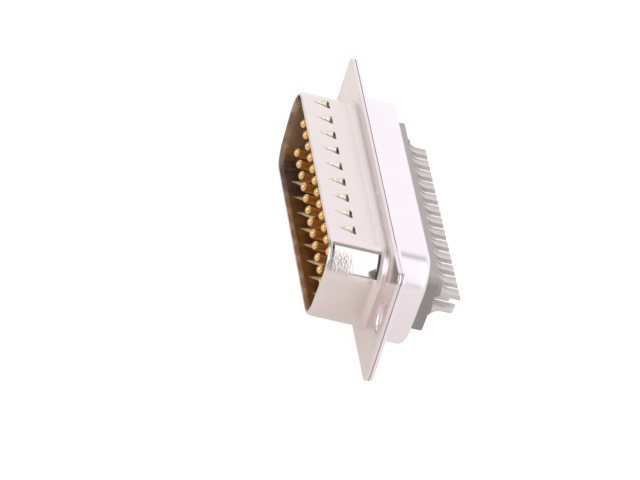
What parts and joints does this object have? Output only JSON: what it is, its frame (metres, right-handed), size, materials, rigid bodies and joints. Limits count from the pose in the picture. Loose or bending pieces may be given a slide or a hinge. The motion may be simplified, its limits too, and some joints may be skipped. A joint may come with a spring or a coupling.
{
  "type": "d-sub connector",
  "caption": "D-shaped plug connector with two rows of pins in a dimpled metal shroud, a screw flange and solder cups at the back.",
  "frame": {"origin": "centre of the panel face of the flange, halfway between the two screw holes", "axes": "+X along the connector, +Z towards the wide side of the D, -Y the way the plug mates"},
  "size_m": [0.053, 0.0151, 0.0126],
  "materials": {
    "shell_plating": "satin tin plating on drawn steel sheet",
    "front_moulding": "matte",
    "rear_moulding": "matte",
    "contact_plating": "gold flash on the pins, tin on the cups"
  },
  "bodies": {
    "root": {"front_shell": "shell_plating", "rear_shell": "shell_plating", "front_insulator": "front_moulding", "rear_insulator": "rear_moulding", "contact_01": "contact_plating", "contact_02": "contact_plating", "contact_03": "contact_plating", "contact_04": "contact_plating", "contact_05": "contact_plating", "contact_06": "contact_plating", "contact_07": "contact_plating", "contact_08": "contact_plating", "contact_09": "contact_plating", "contact_10": "contact_plating", "contact_11": "contact_plating", "contact_12": "contact_plating", "contact_13": "contact_plating", "contact_14": "contact_plating", "contact_15": "contact_plating", "contact_16": "contact_plating", "contact_17": "contact_plating", "contact_18": "contact_plating", "contact_19": "contact_plating", "contact_20": "contact_plating", "contact_21": "contact_plating", "contact_22": "contact_plating", "contact_23": "contact_plating", "contact_24": "contact_plating", "contact_25": "contact_plating"}
  },
  "joints": []
}
